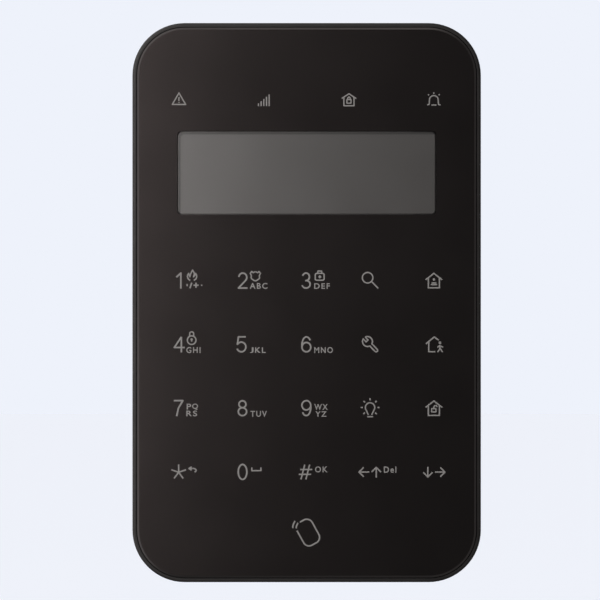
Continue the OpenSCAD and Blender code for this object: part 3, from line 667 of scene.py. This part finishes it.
# Text, the key's column and row, left edge and base from the key's middle, width, height.
LETTERS = [
    ("ABC", 1, 0, -0.75, -2.2, 4.9, 1.65), ("DEF", 2, 0, -0.52, -2.2, 4.35, 1.55),
    ("GHI", 0, 1, -0.7, -2.3, 3.95, 1.65), ("J", 1, 1, -0.7, -2.26, 1.0, 1.55),
    ("KL", 1, 1, 0.72, -2.26, 2.95, 1.55), ("MNO", 2, 1, -0.5, -2.3, 5.15, 1.65),
    ("P", 0, 2, -0.6, -0.26, 1.25, 1.6), ("Q", 0, 2, 0.9, -0.36, 1.65, 1.72),
    ("RS", 0, 2, -0.7, -2.16, 3.0, 1.6), ("TUV", 1, 2, -0.55, -2.3, 4.55, 1.65),
    ("WX", 2, 2, -0.5, -0.4, 3.75, 1.65), ("YZ", 2, 2, -0.2, -2.28, 3.1, 1.5),
    ("OK", 2, 3, -0.3, -0.02, 3.5, 1.65), ("Del", 3, 3, 2.75, -0.14, 3.45, 1.75),
]
letters = words_mesh("letter_legends", [
    (text, COLUMNS[column] / MM + left, ROWS[row] / MM + base, width, height)
    for text, column, row, left, base, width, height in LETTERS
])
letters.materials.append(ink)
letter_legends = bpy.data.objects.new("letter_legends", letters)
bpy.context.scene.collection.objects.link(letter_legends)
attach(letter_legends, "keypad")


# ---------------------------------------------------------------- symbols on the keys
# Line symbols for the alarm's commands, printed with a thinner pen: arming at home and
# away, disarming, search, set-up, panic calls, lighting and the arrows.
def house(eave_x, eave_z, apex_z, wall_x, floor_z):
    """Roof over two walls and a floor."""
    wall_top = eave_z + (eave_x - wall_x) * 0.8
    return [
        [(-eave_x, eave_z), (0.0, apex_z), (eave_x, eave_z)],
        [(-wall_x, wall_top), (-wall_x, floor_z), (wall_x, floor_z), (wall_x, wall_top)],
    ]


def plus(x, z, reach):
    return [[(x - reach, z), (x + reach, z)], [(x, z - reach), (x, z + reach)]]


def dot(x, z):
    return [[(x, z)]]


def print_symbols(name, width, *symbols):
    """Prints symbols, each (strokes, right, up, column, row), as one piece of ink."""
    strokes = []
    for symbol, right, up, column, row in symbols:
        strokes += at_key(placed(symbol, right, up), column, row)
    print_strokes(name, strokes, width)


FLAME = [
    [(0.3, 0.1), (-0.25, 0.5), (-0.5, 1.2), (-0.35, 1.75), (-0.15, 2.05), (0.0, 1.6),
     (0.2, 1.1), (0.45, 2.0), (0.95, 2.95), (1.35, 2.3), (1.45, 1.8), (1.2, 1.1),
     (1.65, 1.6), (1.8, 2.05), (2.05, 1.6), (2.1, 1.1), (1.9, 0.5), (1.3, 0.1)],
]
BADGE_SIDE = [(0.0, 2.58), (0.3, 2.48), (0.6, 2.26), (1.02, 2.65), (1.41, 2.08), (1.2, 1.75),
              (1.09, 1.41), (1.18, 1.05), (1.1, 0.68), (0.53, 0.25), (0.0, 0.0)]
BADGE = [BADGE_SIDE, [(-x, z) for x, z in BADGE_SIDE]]
FIRST_AID = [rounded(-0.25, 0.1, 2.2, 2.0, 0.4),
             [(0.4, 2.0), (0.5, 2.65), (1.5, 2.65), (1.6, 2.0)]] + plus(1.0, 1.05, 0.42)
ROUND_LOCK = [ring(0.7, 1.1, 1.2), [(0.15, 2.25)] + arc(0.7, 2.95, 0.55, 180, 0, tall=0.45)
              + [(1.25, 2.25)], ring(0.7, 1.3, 0.15), [(0.7, 1.2), (0.7, 0.7)]]
MAGNIFIER = [ring(-1.72, 0.87, 1.46), [(-0.65, -0.15), (1.2, -2.05)]]
WRENCH = [
    arc(-1.67, 0.8, 1.38, 118, -27) + arc(0.73, -1.64, 0.42, 45, -135)
    + arc(-1.67, 0.8, 1.38, -63, -212) + [(-2.05, 0.7), (-1.5, 1.25), (-2.32, 2.02)],
]
BULB = [[(-1.5, -1.95)] + arc(-1.05, 0.1, 1.3, 215, -35) + [(-0.6, -1.95)],
        [(-1.85, -2.45), (-0.25, -2.45)]]
for ray in range(7):
    turn = math.radians(-45 + 45 * ray)
    BULB.append([(-1.05 + reach * math.cos(turn), 0.1 + reach * math.sin(turn))
                 for reach in (2.0, 2.6)])
PERSON_IN = [ring(0.0, 0.38, 0.16), [(-0.66, -0.56), (0.66, -0.56)],
             [(-0.88, -1.02), (0.88, -1.02)]]
WALKER = [
    ring(1.5, 0.5, 0.2),
    [(0.75, -0.75), (1.4, -0.3), (2.35, -0.7)],
    [(1.4, -0.3), (1.55, -1.0), (0.85, -2.05)], [(1.55, -1.0), (2.2, -2.05)],
]
OPEN_HOUSE = [[(-2.4, 0.2), (-0.1, 2.12), (1.1, 1.3)],
              [(-1.6, 0.75), (-1.6, -1.95), (0.2, -1.95)]]
OPEN_LOCK = [rounded(-0.62, -0.95, 0.58, -0.05, 0.15),
             [(0.0, -0.05)] + arc(0.45, 0.35, 0.45, 180, 10)]
UP_ARROW = [[(0.0, -1.4), (0.0, 1.4)], [(-1.3, 0.1), (0.0, 1.4), (1.3, 0.1)]]
RETURN = [[(-0.1, 0.9), (0.5, 0.5), (0.5, 1.3), (-0.1, 0.9)], [(0.0, 0.9), (0.5, 0.9)],
          [(0.5, 0.9), (1.15, 0.9)] + arc(1.15, 0.4, 0.75, 90, -65, tall=0.5)]
SPACE = [[(-0.15, 1.35), (-0.15, 0.45), (2.35, 0.45), (2.35, 1.35)]]

MARKS = dot(0.0, 0.0) + dot(0.0, -0.25) + [[(0.75, -1.0), (1.3, 0.55)]]
MARKS += plus(2.45, -0.15, 0.72) + dot(4.0, -0.15)
HOUSE = house(2.3, 0.3, 2.08, 1.53, -1.92)
LEFT_ARROW, DOWN_ARROW, RIGHT_ARROW = (placed(UP_ARROW, 0.0, 0.0, turn=turn)
                                       for turn in (90, 180, -90))

print_symbols("emergency_legends", 0.38 * MM, (FLAME, 0.1, 0.03, 0, 0),
              (BADGE, 0.82, -0.03, 1, 0), (FIRST_AID, 0.05, 0.08, 2, 0),
              (ROUND_LOCK, 0.1, 0.16, 0, 1))
print_symbols("mark_legends", 0.42 * MM, (MARKS, -0.45, -1.05, 0, 0))
print_symbols("command_legends", 0.39 * MM, (MAGNIFIER, 0.0, 0.0, 3, 0),
              (WRENCH, -0.09, 0.07, 3, 1), (BULB, 0.0, 0.18, 3, 2),
              (HOUSE + PERSON_IN, -0.08, 0.0, 4, 0), (OPEN_HOUSE + WALKER, 0.1, 0.0, 4, 1),
              (HOUSE + OPEN_LOCK, -0.08, 0.0, 4, 2))
print_symbols("arrow_legends", 0.4 * MM, (LEFT_ARROW, -2.7, 0.06, 3, 3),
              (UP_ARROW, 0.68, -0.05, 3, 3), (DOWN_ARROW, -1.75, 0.1, 4, 3),
              (RIGHT_ARROW, 1.58, 0.05, 4, 3), (RETURN, 0.14, 0.14, 0, 3),
              (SPACE, 0.0, 0.0, 1, 3))


# ---------------------------------------------------------------- status symbols
# Fault, signal, armed and alarm, in a row over the display, each before its own light.
pipe_low, pipe_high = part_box("status_light_pipes")
PIPE_RADIUS = 3.2 * MM
status_z = (pipe_low.z + pipe_high.z) / 2
status_pitch = (pipe_high.x - pipe_low.x - 2 * PIPE_RADIUS) / 3
FAULT = [[(0.0, 1.95), (-1.85, -1.25), (1.85, -1.25), (0.0, 1.95)],
         [(0.0, 0.8), (0.0, -0.3)]] + dot(0.0, -0.72)
SIGNAL = [[(-1.55 + 0.74 * k, -1.7), (-1.55 + 0.74 * k, -0.95 + 0.62 * k)] for k in range(5)]
ARMED = house(2.0, 0.4, 1.72, 1.4, -1.6) + [rounded(-0.58, -0.9, 0.58, 0.12, 0.15)]
ARMED += [arc(0.0, 0.3, 0.36, 180, 0, tall=0.5)]
BELL_SIDE = [(-1.85, -1.35), (-1.4, -1.3), (-1.25, -0.9)]
ALARM = [BELL_SIDE + arc(0.0, 0.0, 1.22, 180, 0) + [(-x, z) for x, z in reversed(BELL_SIDE)],
         [(-0.7, -1.4), (0.7, -1.4)], [(0.0, 1.7), (0.0, 2.1)],
         [(-1.35, 1.3), (-1.6, 1.6)], [(1.35, 1.3), (1.6, 1.6)]]
STATUS_SYMBOLS = [(FAULT, 0.08), (SIGNAL, 0.03), (ARMED, -0.08), (ALARM, -0.2)]
STATUS_BELOW_LIGHTS = 0.14
status_strokes = []
for place, (symbol, right) in enumerate(STATUS_SYMBOLS):
    x = pipe_low.x + PIPE_RADIUS + place * status_pitch
    status_strokes += placed(symbol, x / MM + right, status_z / MM - STATUS_BELOW_LIGHTS)
print_strokes("status_legends", status_strokes, 0.36 * MM)


# ---------------------------------------------------------------- tag symbol
# A key tag with a wave at its corner shows where the reader's loops lie behind the face.
loops_low, loops_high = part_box("tag_antenna")
TAG_RIGHT, TAG_BELOW_LOOPS, TAG_TURN = 0.37, 1.63, 29
tag_z = (loops_low.z + loops_high.z) / 2 / MM - TAG_BELOW_LOOPS
TAG = [
    [(-0.58, 3.6)] + arc(0.7, 1.9, 1.7, 90, 0) + arc(0.7, -1.9, 1.7, 0, -90)
    + arc(-0.7, -1.9, 1.7, -90, -180) + [(-2.4, 1.97)],
    [(-1.11, 3.67), (-1.45, 3.47), (-1.79, 3.2), (-2.07, 2.9), (-2.29, 2.56)],
    [(-1.58, 4.53), (-2.02, 4.27), (-2.43, 3.94), (-2.79, 3.55), (-3.08, 3.1)],
]
print_strokes("tag_legend", placed(TAG, TAG_RIGHT, tag_z, turn=TAG_TURN), 0.43 * MM)


# ---------------------------------------------------------------- studio
# A pale sweep, a large soft light at the upper left and a gentle fall-off to the right.
scene = bpy.context.scene
scene.view_settings.view_transform = "Standard"
BACKDROP = (0.855, 0.887, 0.965)
BRIGHT_SIDE = (-0.88, 0.0, 0.47)
STUDIO_FALL = [(0.0, 0.35), (0.35, 0.25), (0.5, 0.4), (0.7, 0.9), (1.0, 1.4)]
FLOOR_Z = -0.3
FLOOR_RADIUS = 6.0

# The camera sees the plain backdrop. The gloss mirrors a studio that is bright on one side
# and dark right behind the camera.
world = bpy.data.worlds.new("studio")
world.use_nodes = True
world.node_tree.nodes.clear()
scene.world = world
direction = node_in(world, "TexCoord").outputs["Generated"]
tilt = node_in(world, "VectorMath", {0: direction, 1: BRIGHT_SIDE}, operation="DOT_PRODUCT")
spread = node_in(world, "MapRange", {"Value": tilt.outputs["Value"], "From Min": -1.0})
fall = shade_between(world, spread.outputs["Result"], *[
    (position, (level, level * 0.98, level * 0.97)) for position, level in STUDIO_FALL
])
facing = node_in(world, "SeparateXYZ", {"Vector": direction})
flag = node_in(world, "MapRange", {"Value": facing.outputs["Y"], "From Min": -0.97,
                                   "From Max": -0.6, "To Min": 0.02},
               interpolation_type="SMOOTHSTEP")
glow = node_in(world, "Background", {"Color": fall, "Strength": flag.outputs["Result"]})
backdrop = node_in(world, "Background", {"Color": (*BACKDROP, 1.0)})
seen = node_in(world, "LightPath").outputs["Is Camera Ray"]
either = node_in(world, "MixShader", {"Fac": seen, 1: glow.outputs[0], 2: backdrop.outputs[0]})
node_in(world, "OutputWorld", {"Surface": either.outputs[0]})

floor_mesh = bmesh.new()
bmesh.ops.create_circle(floor_mesh, cap_ends=True, radius=FLOOR_RADIUS, segments=96)
bmesh.ops.translate(floor_mesh, verts=floor_mesh.verts, vec=(0.0, 0.0, FLOOR_Z))
floor_data = bpy.data.meshes.new("floor")
floor_mesh.to_mesh(floor_data)
floor_mesh.free()
floor = bpy.data.objects.new("floor", floor_data)
scene.collection.objects.link(floor)
sweep = new_finish("pale_sweep", Roughness=1.0, Specular_IOR_Level=0.0,
                   Base_Color=(0.5, 0.52, 0.56, 1.0), Emission_Color=(*BACKDROP, 1.0),
                   Emission_Strength=0.55)[0]
floor_data.materials.append(sweep)
floor.visible_glossy = False
floor.visible_diffuse = False


def softbox(name, place, aim, size, power):
    """A softbox, wide and tall as size says, at a place and turned to shine at aim."""
    lamp = bpy.data.lights.new(name, "AREA")
    lamp.shape = "RECTANGLE"
    lamp.size, lamp.size_y = size
    lamp.color = (1.0, 0.95, 0.93)
    lamp.energy = power
    stand = bpy.data.objects.new(name, lamp)
    stand.location = place
    stand.rotation_euler = (Vector(aim) - Vector(place)).to_track_quat("-Z", "Y").to_euler()
    stand.visible_camera = False
    scene.collection.objects.link(stand)


softbox("key_softbox", (-0.33, -0.62, 0.18), (0.0, -0.02, 0.0), (0.4, 0.8), 6.4)


# ---------------------------------------------------------------- camera
# Straight on to the face, a little left of the middle and a little above it.
CAMERA_DISTANCE = 0.70
FIELD_HEIGHT = 0.166
camera = bpy.data.cameras.new("camera")
camera.sensor_width = 36.0
camera.lens = camera.sensor_width * CAMERA_DISTANCE / FIELD_HEIGHT
camera.clip_end = 20.0
tripod = bpy.data.objects.new("camera", camera)
tripod.location = (-1.845 * MM, face_front - CAMERA_DISTANCE, 0.72 * MM)
tripod.rotation_euler = (math.radians(90), 0.0, 0.0)
scene.collection.objects.link(tripod)
scene.camera = tripod
